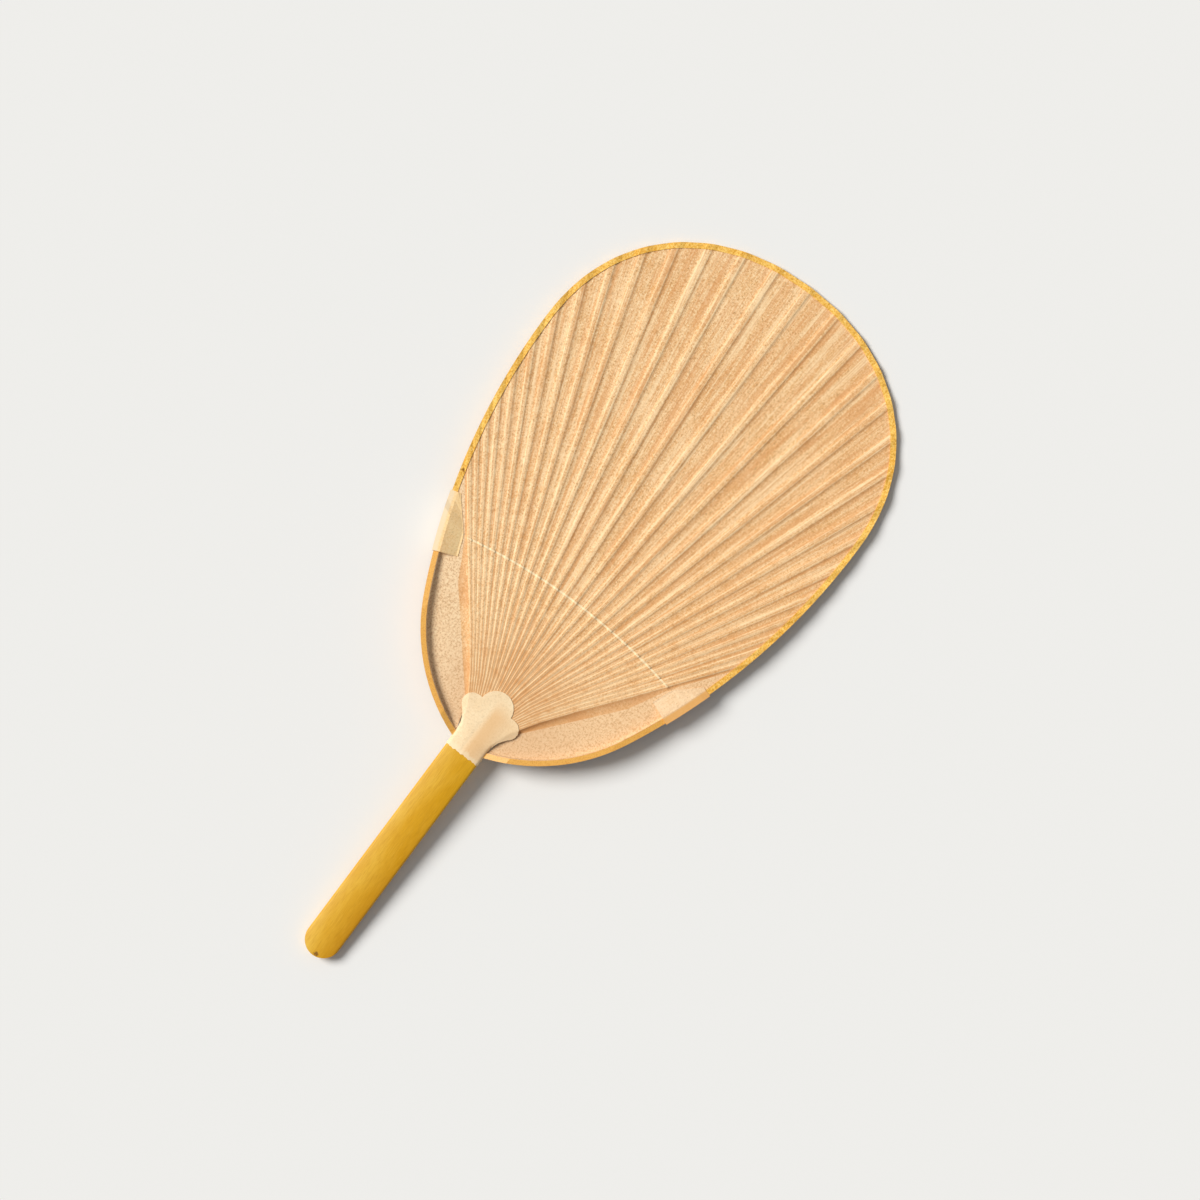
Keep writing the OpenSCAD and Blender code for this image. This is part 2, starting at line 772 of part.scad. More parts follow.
module ear(top_y) {
    kink = rim_direction(ear_kink_y, 0);
    upper = spread(rim_direction(top_y, 0), kink, 2);
    lower = spread(kink - 1, rim_direction(ear_low_y, 0), ear_steps);
    color(patch_colour)
        skin([for (a = concat(upper, lower)) ear_ring(a, top_y)]);
}

module ear_patch_right() {
    posed()
        ear(ear_right_y);
}

module ear_patch_left() {
    posed()
        mirror([1, 0, 0])
            ear(ear_left_y);
}

// The neck patches are the skin between the covered neck and the same neck grown by their thickness
module covered_neck(g) {
    head(g);
    rotate(rotate_yz)
        linear_extrude(wide, center = true)
            rib_cover_side(g);
}

// The side view of the ribs with the sheets on them, level under the head's slope, grown by g
module rib_cover_side(g) {
    upper = [for (y = [head_l - head_slope, head_l, thread_y]) [y, half_depth(y) + paper_t + g]];
    lower = [for (i = [2:-1:0]) [upper[i].x, -upper[i].y]];
    polygon(concat(upper, lower));
}

module patch_outline() {
    w = handle_w / 2 + patch_t;
    lobe = [side_lobe_x, side_lobe_y];
    flare_angle = 55;
    flare = lobe + side_lobe_r * [cos(flare_angle), -sin(flare_angle)];
    half = [[w, -patch_low], [w, patch_straight_y], flare, lobe, [0, top_lobe_y]];
    polygon(concat(half, mirrored(half)));
    translate([0, top_lobe_y])
        circle(top_lobe_r);
    for (side = [-1, 1])
        translate([side * lobe.x, lobe.y])
            circle(side_lobe_r);
}

// Face is 1 for the front patch. Each wraps round the worn edges of the head and stops short of the bow.
module neck_patch(face) {
    intersection() {
        mirror([0, 0, (1 - face) / 2])
            translate([0, 0, bow_mid_h / 2 + bow_play])
                linear_extrude(handle_t)
                    patch_outline();
        difference() {
            covered_neck(patch_t);
            covered_neck(0);
        }
    }
}

module neck_patch_front() {
    color(patch_colour)
        posed()
            neck_patch(1);
}

module neck_patch_back() {
    color(patch_colour)
        posed()
            neck_patch(-1);
}

module bow() {
    color([0.9, 0.68, 0.3])
        posed()
            bow_solid();
}

// The fan lies on its back on two places, the end of the grip and the tip of the blade, with its neck raised.
// Both places are given as [y, z] in the blade's plane.
tip_low = [blade_l, -half_depth(blade_l) - paper_t - paste - binding_t];
end_high = [hinge.y, hinge.z] - grip_l * [cos(neck_bend), sin(neck_bend)];
end_low = end_high + handle_t * [sin(neck_bend), -cos(neck_bend)];
tilt = atan2(tip_low.y - end_low.y, tip_low.x - end_low.x);

function tilted(p) = [p.x * cos(tilt) + p.y * sin(tilt), p.y * cos(tilt) - p.x * sin(tilt)];

lift = -tilted(tip_low).y;
shift = -(tilted([blade_l, -tip_low.y]).x + tilted(end_high).x) / 2;

// The origin is under the middle of the fan, on the table
module posed() {
    translate([0, shift, lift])
        rotate([-tilt, 0, 0])
            children();
}

handle_and_ribs();
bow();
thread();
front_paper();
back_paper();
edge_binding();
ear_patch_left();
ear_patch_right();
neck_patch_front();
neck_patch_back();
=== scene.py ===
"""A round uchiwa fan of bamboo and paper, lying on its back on a pale table."""
import math

import bpy
import numpy as np
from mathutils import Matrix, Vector


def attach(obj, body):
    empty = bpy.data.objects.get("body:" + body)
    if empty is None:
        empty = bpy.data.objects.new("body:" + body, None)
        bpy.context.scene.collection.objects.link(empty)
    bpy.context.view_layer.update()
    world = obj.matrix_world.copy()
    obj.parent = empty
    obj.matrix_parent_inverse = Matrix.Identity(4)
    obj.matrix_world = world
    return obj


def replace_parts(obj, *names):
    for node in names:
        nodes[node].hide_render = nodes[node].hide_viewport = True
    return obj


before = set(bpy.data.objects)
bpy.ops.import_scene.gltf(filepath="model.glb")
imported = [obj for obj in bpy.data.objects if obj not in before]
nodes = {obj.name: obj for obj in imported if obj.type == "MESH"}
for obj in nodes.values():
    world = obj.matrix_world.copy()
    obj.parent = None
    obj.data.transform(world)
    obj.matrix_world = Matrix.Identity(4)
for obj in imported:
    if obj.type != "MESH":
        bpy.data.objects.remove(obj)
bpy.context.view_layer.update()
scene = bpy.context.scene
scene.view_settings.view_transform = "Standard"

# The camera looks straight down on the table. It is turned so that the fan leans to the right in the
# picture, and the whole picture is 574.8 mm wide at the height of the sheets.
picture_w = 0.5748
picture_middle = (0.0088, 0.0190)
lean = math.radians(36.75)
camera_height = 2.4
sheet_height = 0.008
sensor_w = 36

camera_data = bpy.data.cameras.new("camera")
camera_data.sensor_width = sensor_w
camera_data.lens = sensor_w * (camera_height - sheet_height) / picture_w
camera = bpy.data.objects.new("camera", camera_data)
camera.location = (*picture_middle, camera_height)
camera.rotation_euler = (0, 0, lean)
scene.collection.objects.link(camera)
scene.camera = camera

# One broad lamp shines from the left of the handle, forty-four degrees above the table, and an even pale
# sky fills the shadows.
light_height = math.radians(44)
light_turn = math.radians(12)
flat_part = math.cos(light_height)
shine = Vector((math.cos(light_turn) * flat_part, math.sin(light_turn) * flat_part, -math.sin(light_height)))

lamp_data = bpy.data.lights.new("lamp", "SUN")
lamp_data.energy = 3.55
lamp_data.angle = math.radians(30)
lamp_data.color = (1.0, 0.99, 0.975)
lamp = bpy.data.objects.new("lamp", lamp_data)
lamp.rotation_euler = shine.to_track_quat("-Z", "Y").to_euler()
scene.collection.objects.link(lamp)

sky = bpy.data.worlds.new("sky")
sky.use_nodes = True
sky.node_tree.nodes["Background"].inputs["Color"].default_value = (0.93, 0.965, 1.0, 1)
sky.node_tree.nodes["Background"].inputs["Strength"].default_value = 0.28
scene.world = sky


# The floor is a plain pale board that fills the picture and takes the fan's shadow. Its finish is a small
# node tree, as every finish is, with colours written from 0 to 255 as on a colour card.
def colour(red, green, blue):
    """Each share c of full strength becomes c / 12.92 up to 0.04045, and above that it becomes
    ((c + 0.055) / 1.055) to the 2.4."""
    shares = [v / 255 for v in (red, green, blue)]
    linear = [c / 12.92 if c <= 0.04045 else ((c + 0.055) / 1.055) ** 2.4 for c in shares]
    return (*linear, 1.0)


class Finish:
    """A material with its node tree, and short ways to add and join nodes."""

    def __init__(self, name, roughness):
        self.material = bpy.data.materials.new(name)
        self.material.use_nodes = True
        self.tree = self.material.node_tree
        self.surface = self.tree.nodes["Principled BSDF"]
        self.surface.inputs["Roughness"].default_value = roughness
        self.place = self.node("ShaderNodeTexCoord").outputs["Object"]

    def node(self, kind, values=None, **settings):
        made = self.tree.nodes.new(kind)
        for name, value in settings.items():
            setattr(made, name, value)
        for name, value in (values or {}).items():
            if isinstance(value, bpy.types.NodeSocket):
                self.tree.links.new(value, made.inputs[name])
            else:
                made.inputs[name].default_value = value
        return made

    def join(self, output, name):
        self.tree.links.new(output, self.surface.inputs[name])

    def along(self, axis):
        """One of the object's own coordinates, in metres."""
        return self.node("ShaderNodeSeparateXYZ", {"Vector": self.place}).outputs[axis]

    def attribute(self, name):
        """The value that the mesh holds at each place."""
        return self.node("ShaderNodeAttribute", attribute_name=name).outputs["Fac"]

    def stretched(self, scale, turn=0.0):
        """The object's own coordinates, scaled along each axis and turned about the vertical."""
        mapping = self.node("ShaderNodeMapping", {"Vector": self.place})
        mapping.inputs["Scale"].default_value = scale
        mapping.inputs["Rotation"].default_value = (0, 0, turn)
        return mapping.outputs["Vector"]

    def distance_to(self, x, y):
        """How far each place is, over the table, from one place on it, in metres."""
        level = self.stretched((1, 1, 0))
        made = self.node("ShaderNodeVectorMath", {0: level, 1: (x, y, 0)}, operation="DISTANCE")
        return made.outputs["Value"]

    def noise(self, place, scale, detail=3.0, roughness=0.55):
        settings = {"Vector": place, "Scale": scale, "Detail": detail, "Roughness": roughness}
        return self.node("ShaderNodeTexNoise", settings).outputs["Fac"]

    def ramp(self, fac, low, high):
        """0 where fac is at low, 1 at high, and a straight rise between."""
        settings = {"Value": fac, "From Min": low, "From Max": high}
        return self.node("ShaderNodeMapRange", settings).outputs["Result"]

    def maths(self, operation, a, b=0.0):
        return self.node("ShaderNodeMath", {0: a, 1: b}, operation=operation).outputs[0]

    def times(self, a, b):
        return self.maths("MULTIPLY", a, b)

    def mixed(self, fac, a, b):
        return self.node("ShaderNodeMix", {0: fac, 6: a, 7: b}, data_type="RGBA").outputs[2]

    def tinted(self, ground, tint, where, share):
        """The ground, with this share of the tint where the third value is 1."""
        return self.mixed(self.times(where, share), ground, tint)

    def bump(self, height, distance, strength=1.0):
        made = self.node("ShaderNodeBump", {"Height": height, "Distance": distance, "Strength": strength})
        self.join(made.outputs["Normal"], "Normal")


floor_half = 3.0
corners = [(-1, -1), (1, -1), (1, 1), (-1, 1)]
floor_data = bpy.data.meshes.new("floor")
floor_data.from_pydata([(floor_half * x, floor_half * y, 0) for x, y in corners], [], [(0, 1, 2, 3)])
floor = bpy.data.objects.new("floor", floor_data)
scene.collection.objects.link(floor)
board = Finish("pale_board", 0.9)
board.surface.inputs["Base Color"].default_value = colour(234, 233, 230)
board.surface.inputs["Specular IOR Level"].default_value = 0.1
floor_data.materials.append(board.material)


# The handle and the ribs are one strip of bamboo culm with its skin left on. The fibres run along the strip
# as fine darker lines, and handling has darkened it in clouds. Its right half is painted more saturated and
# darker towards the low end of the grip: painted shade of the round front's right side, which faces away from
# the lamp. Its end has a nick, drawn only as a dark spot of painted shade.
def dress(name, finish):
    """Gives a CAD node its finish."""
    piece = nodes[name]
    piece.data.materials.clear()
    piece.data.materials.append(finish.material)


nick_x = 0.0013
nick_y = -0.1983

culm = Finish("bamboo_culm", 0.45)
culm.surface.inputs["Specular IOR Level"].default_value = 0.25
fibre = culm.noise(culm.stretched((1, 0.015, 1)), 3200, 4.0, 0.65)
vein = culm.noise(culm.stretched((1, 0.006, 1)), 1300, 2.0, 0.5)
cloud = culm.noise(culm.stretched((1, 0.4, 1)), 70, 3.0)
# Painted shade: the right half of the round front faces away from the lamp, so it is made more saturated here.
right_painted_shade = culm.ramp(culm.along("X"), -0.004, 0.009)
# Painted shade, darker on the right half and deepest towards the low end of the grip.
low_right_painted_shade = culm.times(culm.ramp(culm.along("X"), -0.003, 0.008), culm.ramp(culm.along("Y"), -0.08, -0.17))
ragged = culm.times(culm.noise(culm.place, 900), 0.0022)
# A dark spot of painted shade stands in for the nick at the end of the grip.
nick_shade = culm.ramp(culm.maths("ADD", culm.distance_to(nick_x, nick_y), ragged), 0.0025, 0.0018)

skin = culm.mixed(culm.ramp(cloud, 0.35, 0.68), colour(224, 176, 58), colour(214, 158, 26))
skin = culm.tinted(skin, colour(236, 176, 8), right_painted_shade, 0.35)
skin = culm.tinted(skin, colour(198, 132, 0), low_right_painted_shade, 0.7)
skin = culm.tinted(skin, colour(186, 128, 20), culm.ramp(fibre, 0.48, 0.7), 0.55)
skin = culm.tinted(skin, colour(196, 138, 24), culm.ramp(vein, 0.56, 0.7), 0.3)
skin = culm.tinted(skin, colour(234, 188, 70), culm.ramp(fibre, 0.42, 0.3), 0.35)
culm.join(culm.tinted(skin, colour(112, 66, 28), nick_shade, 0.8), "Base Color")
culm.bump(fibre, 0.00005, 0.6)
dress("handle_and_ribs", culm)

# The bow is a thinner strip of split bamboo. It stands on edge, runs through the head of the handle and
# bends round the lower part of the blade.
strip = Finish("bow_strip", 0.42)
strip_fibre = strip.noise(strip.stretched((1, 1, 4)), 1500, 4.0, 0.6)
split_wood = strip.mixed(strip.ramp(strip_fibre, 0.45, 0.7), colour(238, 178, 84), colour(214, 146, 58))
strip.join(split_wood, "Base Color")
strip.bump(strip_fibre, 0.00005, 0.5)
dress("bow", strip)

# The two sheets are long-fibred paper, pasted on both faces of the ribs, where they sink between the slivers.
# Their clear flaps are pasted to the inner face of the bow.

# The blade is drawn in its own plane in millimetres, with y up the middle from the neck and z out of the
# front. Its outline is a full ellipse for the crown, then a long arc and a short arc on each side.
half_w = 93.5
widest_y = 190.0
crown_h = 87.0
crown_full = 2.15
side_r = 322.0
turn_y = 48.0
lower_r = 92.0
tip_y = widest_y + crown_h

heart = np.array([0.0, widest_y])
turn = math.asin((widest_y - turn_y) / side_r)
side_centre = np.array([half_w - side_r, 0.0])
lower_centre = side_centre + (side_r - lower_r) * np.array([math.cos(turn), -math.sin(turn)])


def reach(angle, inset):
    """How far the outline, drawn in by inset, is from the heart: on the crown (|cos|/a)^n + (|sin|/b)^n is 1
    over the reach to the n, and on an arc the reach solves the circle's own equation along that line."""
    cos, sin = np.cos(angle), np.sin(angle)
    wide = np.abs(cos) / (half_w - inset)
    high = np.abs(sin) / (crown_h - inset)
    crown = (wide ** crown_full + high ** crown_full) ** (-1 / crown_full)
    arcs = []
    for centre, r in ((side_centre, side_r - inset), (lower_centre, lower_r - inset)):
        along = centre[0] * cos + centre[1] * sin
        arcs.append(along + np.sqrt(np.maximum(along ** 2 + r * r - centre @ centre, 0)))
    side_in = side_r - inset
    is_low = angle < np.arctan2(-side_in * math.sin(turn), side_centre[0] + side_in * math.cos(turn))
    return np.where(angle >= 0, crown, np.where(is_low, arcs[1], arcs[0]))


def rim(angle, inset):
    """The outline's places, at their reach from the heart in each direction."""
    return heart + reach(angle, inset)[..., None] * np.stack([np.cos(angle), np.sin(angle)], axis=-1)


def rim_run(start, along, inset, farthest=400, halvings=26):
    """How far each line runs before it leaves the outline, found by halving the farthest way many times."""
    low = np.zeros(start.shape[:-1])
    high = low + farthest
    for _ in range(halvings):
        middle = (low + high) / 2
        place = start + middle[..., None] * along - heart
        x, y = place[..., 0], place[..., 1]
        within = np.hypot(x, y) < reach(np.arctan2(y, np.abs(x)), inset)
        low, high = np.where(within, middle, low), np.where(within, high, middle)
    return low


# The fan lies on the back of its tip and on the low end of the grip, which bends back at the neck. These two
# places, [y, z] in the blade's millimetres, give its tilt. At the tip, half of the rib's depth, the sheet,
# the paste and the binding are behind the middle plane.
handle_half = 9.1
handle_t = 6.0
head_foot = 3.0
grip_l = 120.0
neck_bend = math.radians(5.6)
rib_depths = np.array([4.2, 1.7, 0.9])
paper_t = 0.25
binding_t = 0.3
paste = 0.05
tip_z = rib_depths[2] / 2 + paper_t + binding_t + paste
grip_run = grip_l * np.array([math.cos(neck_bend), math.sin(neck_bend)])
grip_high = np.array([-head_foot, handle_t / 2]) - grip_run
grip_low = grip_high + handle_t * np.array([math.sin(neck_bend), -math.cos(neck_bend)])
tilt = math.atan2(-tip_z - grip_low[1], tip_y - grip_low[0])


def laid(points):
    """The blade turned down by tilt: y' = y cos + z sin, z' = z cos - y sin, then moved over the origin, in
    metres. The origin is under the middle between the highest corners of the two ends."""
    x, y, z = np.moveaxis(np.asarray(points, dtype=float), -1, 0)
    cos, sin = math.cos(tilt), math.sin(tilt)
    shift = -((tip_y + grip_high[0]) * cos + (tip_z + grip_high[1]) * sin) / 2
    lift = tip_z * cos + tip_y * sin
    return np.stack([x, y * cos + z * sin + shift, z * cos - y * sin + lift], axis=-1) / 1000


# The fan of the ribs: q runs from -1 at the left rib to 1 at the right one. A rib leaves the split upright,
# comes to the thread along its own direction on a cubic curve, and then runs straight to the rim. The rows of
# the sheets are places along each rib: on the curve, beside the thread, and in even shares of the way out.
rib_last = 14
fan_angle = math.radians(37)
fan_crowding = 0.48
thread_crowding = 0.38
head_l = 9.0
split_edge = 0.6
kerf = 0.12
thread_y = 88.0
thread_r = 294.0
flap_w = 17.6
bow_end_y = 86.0
lead_middle = 25.0
lead_outer = 11.0
lead_thread = 31.0
rib_thread_w = 1.25
rib_tip_w = 2.7

rib_pitch = 2 * (handle_half - split_edge) / (2 * rib_last + 1)
rib_root_w = rib_pitch - kerf
bow_end_reach = side_centre[0] + math.sqrt(side_r ** 2 - (widest_y - bow_end_y) ** 2)
thread_half = bow_end_reach - flap_w
rib_q = np.arange(-rib_last, rib_last + 1) / rib_last
curve_t = np.array([0.2, 0.4, 0.6, 0.8])
outwards = np.array([0.15, 0.3, 0.5, 0.8, 1.2])
beside_thread = np.concatenate([-outwards[::-1], [0], outwards])
way_out = np.linspace(0, 1, 14)[1:]
on_curve = slice(len(curve_t))
on_thread = slice(on_curve.stop, on_curve.stop + len(beside_thread))
on_way_out = slice(on_thread.stop, None)


def eased(q, crowding):
    """q grows to q (1 + c - c |q|), so that the outer ribs stand closer than the middle ones."""
    return q * (1 + crowding - crowding * np.abs(q))


def half_depth(y):
    """Half of the ribs' depth, which falls evenly from the head to the thread and again to the tip."""
    return np.interp(y, [head_l, thread_y, tip_y], rib_depths / 2)


def rib_lines(q):
    """Middle, direction and width of each rib at each row, and its place and direction where it crosses the
    thread. The angle is 37 degrees times eased q. The place is on the thread's arc, at half of the arc's width
    times eased q. The width grows evenly from the split to the thread, and again from there to the tip."""
    angle = fan_angle * eased(q, fan_crowding)
    out = np.stack([np.sin(angle), np.cos(angle)], axis=-1)
    x = thread_half * eased(q, thread_crowding)
    crossing = np.stack([x, thread_y - thread_r + np.sqrt(thread_r ** 2 - x ** 2)], axis=-1)
    root = np.stack([rib_last * rib_pitch * q, head_l + 0 * q], axis=-1)
    lead = np.stack([0 * q, lead_middle - (lead_middle - lead_outer) * np.abs(q)], axis=-1)
    bends = (root, root + lead, crossing - lead_thread * out, crossing)

    def curve(t):
        """The cubic curve: its four bends in shares of (1-t)^3, 3t(1-t)^2, 3t^2(1-t) and t^3."""
        shares = ((1 - t) ** 3, 3 * t * (1 - t) ** 2, 3 * t * t * (1 - t), t ** 3)
        return sum(share[:, None, None] * bend for share, bend in zip(shares, bends))

    step = curve(curve_t + 0.01) - curve(curve_t - 0.01)
    step = step / np.linalg.norm(step, axis=-1, keepdims=True)
    run = rim_run(crossing, out, binding_t)
    beyond = np.concatenate([np.repeat(beside_thread[:, None], len(q), 1), way_out[:, None] * run])
    middle = np.concatenate([curve(curve_t), crossing + beyond[..., None] * out])
    ahead = np.concatenate([step, np.broadcast_to(out, beyond.shape + (2,))])
    curve_w = rib_root_w + (rib_thread_w - rib_root_w) * np.repeat(curve_t[:, None], len(q), 1)
    straight_w = rib_thread_w + (rib_tip_w - rib_thread_w) * beyond / (tip_y - thread_y)
    return middle, ahead, np.concatenate([curve_w, straight_w]), crossing, out


# The sheets stand up over each sliver and sink between two, in a hollow that is round at its foot, as paper
# dries over a rib. Where the thread passes in front of a rib they stand a little higher. A crease runs beside
# the outermost ribs, from the neck to the lower corner of the ear.
paper_slope = 5
flap_slope = 1.8
flap_z = 0.22
bump_h = 0.42
crease_low = np.array([handle_half + 1.5, 15.5])
crease_high = np.array([58.2, 72.1])
down_flank = np.array([1, 0.85, 0.7, 0.56, 0.43, 0.31, 0.2, 0.1, 0])
across_top = np.array([0.75, 0.4, 0, -0.4, -0.75])

# The rise over the thread is whole up to 0.2 mm from it, and falls along half a cosine wave over 1 mm more.
off_thread = np.clip(np.abs(beside_thread) - 0.2, 0, 1)
thread_bell = np.concatenate([0 * curve_t, (np.cos(off_thread * np.pi) + 1) / 2, 0 * way_out])[:, None]


def cross_of(a, b):
    """The x of a times the y of b, less the y of a times the x of b."""
    return a[..., 0] * b[..., 1] - a[..., 1] * b[..., 0]


def flank_of(side, middle, side_of, width, depth, bump):
    """One side of every rib. At share f of its run the flank is as high as its foot, plus 1 - f to the 2.3 of
    the rest. The run is 5 times as long as the flank is high if the next rib leaves the room, and varies a
    little from rib to rib. The paint is exp(-(d / 0.3)^2) at d millimetres from the shoulder, which is rubbed
    and has a painted highlight, less exp(-((d - 0.75) / 0.4)^2) of painted shade on the right side, which
    faces away from the lamp, and 0.3 of that on the left side."""
    next_middle, _, next_width, _, _ = rib_lines(rib_q + side / rib_last)
    gap = np.abs(((next_middle - middle) * side_of).sum(-1)) - (width + next_width) / 2 - 0.1
    room = 0.47 * gap
    bulge = np.minimum(0.7 * bump, room / 2)
    full_run = np.minimum(paper_slope * depth, room - bulge)
    run = full_run * (0.86 + 0.14 * np.sin(2.4 * np.arange(len(rib_q)) + side + middle[..., 1] / 13))
    foot = np.maximum(depth - full_run / paper_slope, flap_z * thread_bell)

    last = -1 if side > 0 else 0
    to_side = np.abs(side_of[:, last]) * [1, -1]
    crease = crease_high - crease_low
    to_crease = cross_of(crease_low - np.abs(middle[:, last]), crease) / cross_of(to_side, crease)
    run[:, last] = flap_slope * depth[:, last]
    run[on_curve, last] = to_crease[on_curve]
    foot[:, last] = flap_z

    half = width / 2 + 0.05
    down = down_flank * run[..., None]
    off = side * ((half + bulge)[..., None] + down)
    height = foot[..., None] + (depth + bump - foot)[..., None] * (1 - down_flank) ** 2.3
    # The first part is the rubbed shoulder with a painted highlight; the second is painted shade beside the
    # ridge, whole on the right side.
    rubbed_highlight_and_shade = np.exp(-(down / 0.3) ** 2) - (0.65 + 0.35 * side) * np.exp(-((down - 0.75) / 0.4) ** 2)
    span = (half + np.maximum(room, 0.1))[..., None]
    return off, height, rubbed_highlight_and_shade, span


def sheet_grid(face):
    """Places of the sheet's inner face, 23 to a rib: two flanks, and a top that is 0.04 mm round. Also how
    rubbed and highlit each place is as a ridge, or how much painted shade it has beside one, and how many ribs
    it is from the first. Near the thread the rows follow its line, and from there they turn evenly until the
    last one follows the rim."""
    middle, ahead, width, crossing, out = rib_lines(rib_q)
    side_of = np.stack([ahead[..., 1], -ahead[..., 0]], axis=-1)
    depth = half_depth(middle[..., 1])
    number = np.arange(len(rib_q))
    thread_in_front = (number % 2 == 0) == (face > 0)
    bump = bump_h * thread_bell * thread_in_front
    left = flank_of(-1, middle, side_of, width, depth, bump)
    right = [part[..., ::-1] for part in flank_of(1, middle, side_of, width, depth, bump)]

    top_off = -across_top * (width / 2 + 0.05)[..., None]
    top_height = (depth + bump)[..., None] + 0.04 * (1 - across_top ** 2)
    # Rubbing with a painted highlight at the shoulders of each rib's top.
    top_rubbed_highlight = 1.1 * across_top ** 4 + 0 * top_off
    off = np.concatenate([left[0], top_off, right[0]], axis=-1)
    height = np.concatenate([left[1], top_height, right[1]], axis=-1)
    rubbed_highlight_and_shade = np.concatenate([left[2], top_rubbed_highlight, right[2]], axis=-1)
    share_of_gap = np.concatenate([left[0] / left[3], top_off / right[3], right[0] / right[3]], axis=-1)
    fan = 0.5 * np.clip(share_of_gap, -1, 1) + number[:, None]

    slope = -crossing[:, 0] / np.sqrt(thread_r ** 2 - crossing[:, 0] ** 2)
    squareness = (out[:, 1] - slope * out[:, 0])[:, None]
    along_thread = off * (slope[:, None] * side_of[..., 0:1] - side_of[..., 1:2]) / squareness
    beside = off[..., None] * side_of[:, :, None]
    start = crossing[:, None] + beside
    straight = out[:, None] + 0 * start
    to_edge = rim_run(start, straight, binding_t)
    flat = middle[:, :, None] + beside
    flat[on_thread] += along_thread[on_thread, ..., None] * straight[on_thread]
    share = way_out[:, None, None]
    gone = (1 - share) * along_thread[on_way_out] + share * to_edge[on_way_out]
    flat[on_way_out] = start[on_way_out] + gone[..., None] * straight[on_way_out]
    rows = len(depth)
    points = np.concatenate([flat, height[..., None]], axis=-1).reshape(rows, -1, 3)
    return points, rubbed_highlight_and_shade.reshape(rows, -1), fan.reshape(rows, -1)


def grid_faces(rows, columns, start=0):
    """The quads of a grid of rows by columns, whose points are numbered along each row."""
    first = start + np.arange(rows - 1)[:, None] * columns + np.arange(columns - 1)[None, :]
    return np.stack([first, first + 1, first + columns + 1, first + columns], axis=-1).reshape(-1, 4)


def shell(points, thickness):
    """A grid of places, its copy raised by thickness, and the strip that joins their edges all round."""
    rows, columns = points.shape[:2]
    count = rows * columns
    numbers = np.arange(count).reshape(rows, columns)
    loop = np.concatenate([numbers[0, :-1], numbers[:-1, -1], numbers[-1, :0:-1], numbers[:0:-1, 0]])
    ahead = np.roll(loop, -1)
    edge_faces = np.stack([loop, loop + count, ahead + count, ahead], axis=-1)
    faces = np.concatenate([grid_faces(rows, columns), grid_faces(rows, columns, count)[:, ::-1], edge_faces])
    flat = points.reshape(-1, 3)
    return np.concatenate([flat + [0, 0, thickness], flat]), faces


# Each flap is clear paper between the last rib and the bow. Its edge stands up as a lip that is pasted to the
# inner face of the bow, a little under the bow's top edge, which is given at four places across. The flap
# goes round the thread's turns at the bow's end, and meets the binding above them.
bow_t = 2.6
thread_t = 0.4
thread_turns = 3
turn_pitch = 1.2 * thread_t
lip_inset = bow_t + 0.05
lip_drop = 0.3
turns_inset = bow_t + 2 * thread_t + 0.1
turns_low_y = bow_end_y - 3 - thread_turns * turn_pitch
step_y = 0.3
lip_start_x = handle_half + 0.3
bow_edge_x = np.array([9.6, 19.6, 57.24, 77.24])
bow_edge_z = np.array([1.4, 4.2, 4.2, 1.8])


def along_path(path, shares):
    """The values of path at shares of its whole length, which is measured over its first two columns."""
    length = np.concatenate([[0], np.cumsum(np.linalg.norm(np.diff(path[:, :2], axis=0), axis=1))])
    return np.stack([np.interp(shares * length[-1], length, column) for column in path.T], axis=-1)


def flap_grid(foot_line):
    """The clear flap beside the last rib: flat from the rib's foot to the bow, then up the bow's inner face
    as a lip, over its top edge and back underneath. It runs from the neck to the rim in even shares of both
    its sides. The outer side is the rim at three insets, one after the other."""
    fine = np.radians(np.linspace(-90, 0, 3000))
    lower_part = slice(1500)
    end = np.arctan2(foot_line[-1, 1] - widest_y, foot_line[-1, 0])
    spans = []
    for inset, start_y, stop_y in ((lip_inset, None, turns_low_y - step_y),
                                   (turns_inset, turns_low_y, bow_end_y + step_y),
                                   (binding_t, bow_end_y + 2 * step_y, None)):
        places = rim(fine, inset)
        if start_y is None:
            first = np.interp(lip_start_x, places[lower_part, 0], fine[lower_part])
        else:
            first = np.interp(start_y, places[:, 1], fine)
        last = end if stop_y is None else np.interp(stop_y, places[:, 1], fine)
        angles = np.linspace(first, last, 40)
        spans.append(np.column_stack([rim(angles, inset), angles, inset + 0 * angles]))
    shares = np.linspace(0, 1, 72)
    foot = along_path(foot_line, shares)
    edge = along_path(np.concatenate(spans), shares)
    angle, inset = edge[:, 2], edge[:, 3]

    high = flap_z + paper_t
    low_lip = high + paste / 2
    high_lip = np.maximum(np.interp(edge[:, 0], bow_edge_x, bow_edge_z) - lip_drop, low_lip)
    lip_top = np.where(np.abs(inset - lip_inset) < 0.05, high_lip, low_lip)
    inner_end = rim(angle, inset + 0.8)
    columns = []
    for share in np.linspace(0, 1, 9):
        flat = foot[:, :2] * (1 - share) + inner_end * share
        columns.append(np.column_stack([flat, (foot[:, 2] + paper_t) * (1 - share) + high * share]))
    for away, lift in ((0.5, 0.05), (0.34, 0.25), (paper_t, 1), (0, 1)):
        columns.append(np.column_stack([rim(angle, inset + away), high + lift * (lip_top - high)]))
    columns.append(np.column_stack([rim(angle, inset), flap_z + 0 * angle]))
    columns.append(foot)
    return np.stack(columns, axis=1)


